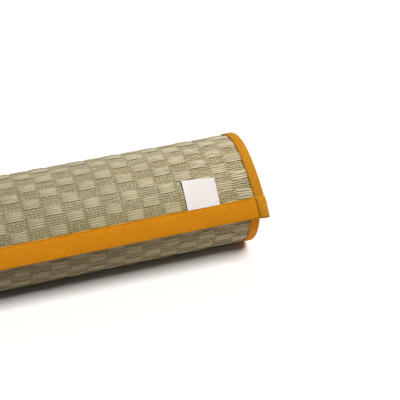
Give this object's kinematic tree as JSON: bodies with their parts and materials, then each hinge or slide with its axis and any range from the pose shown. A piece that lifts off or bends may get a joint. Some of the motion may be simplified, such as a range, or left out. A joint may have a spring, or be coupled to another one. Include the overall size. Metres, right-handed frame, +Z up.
{
  "type": "rolled rush yoga mat",
  "caption": "Yoga mat of checkered woven rush, bound with folded cloth on its edges and wound into a loose roll with a blank sewn label.",
  "frame": {"origin": "under the middle of the roll's box, on the surface that the roll rests on", "axes": "+X along the roll, towards the end beside the label; -Y to the front, where the free end lies; +Z up"},
  "size_m": [0.6068, 0.1376, 0.1285],
  "materials": {
    "rush": "dry woven rush, matt to satin",
    "binding_cloth": "matt cotton twill tape",
    "label_cloth": "matt white cotton"
  },
  "bodies": {
    "root": {"rush_mat": "rush", "side_binding_right": "binding_cloth", "side_binding_left": "binding_cloth", "end_binding_outer": "binding_cloth", "end_binding_inner": "binding_cloth", "blank_label": "label_cloth"}
  },
  "joints": []
}
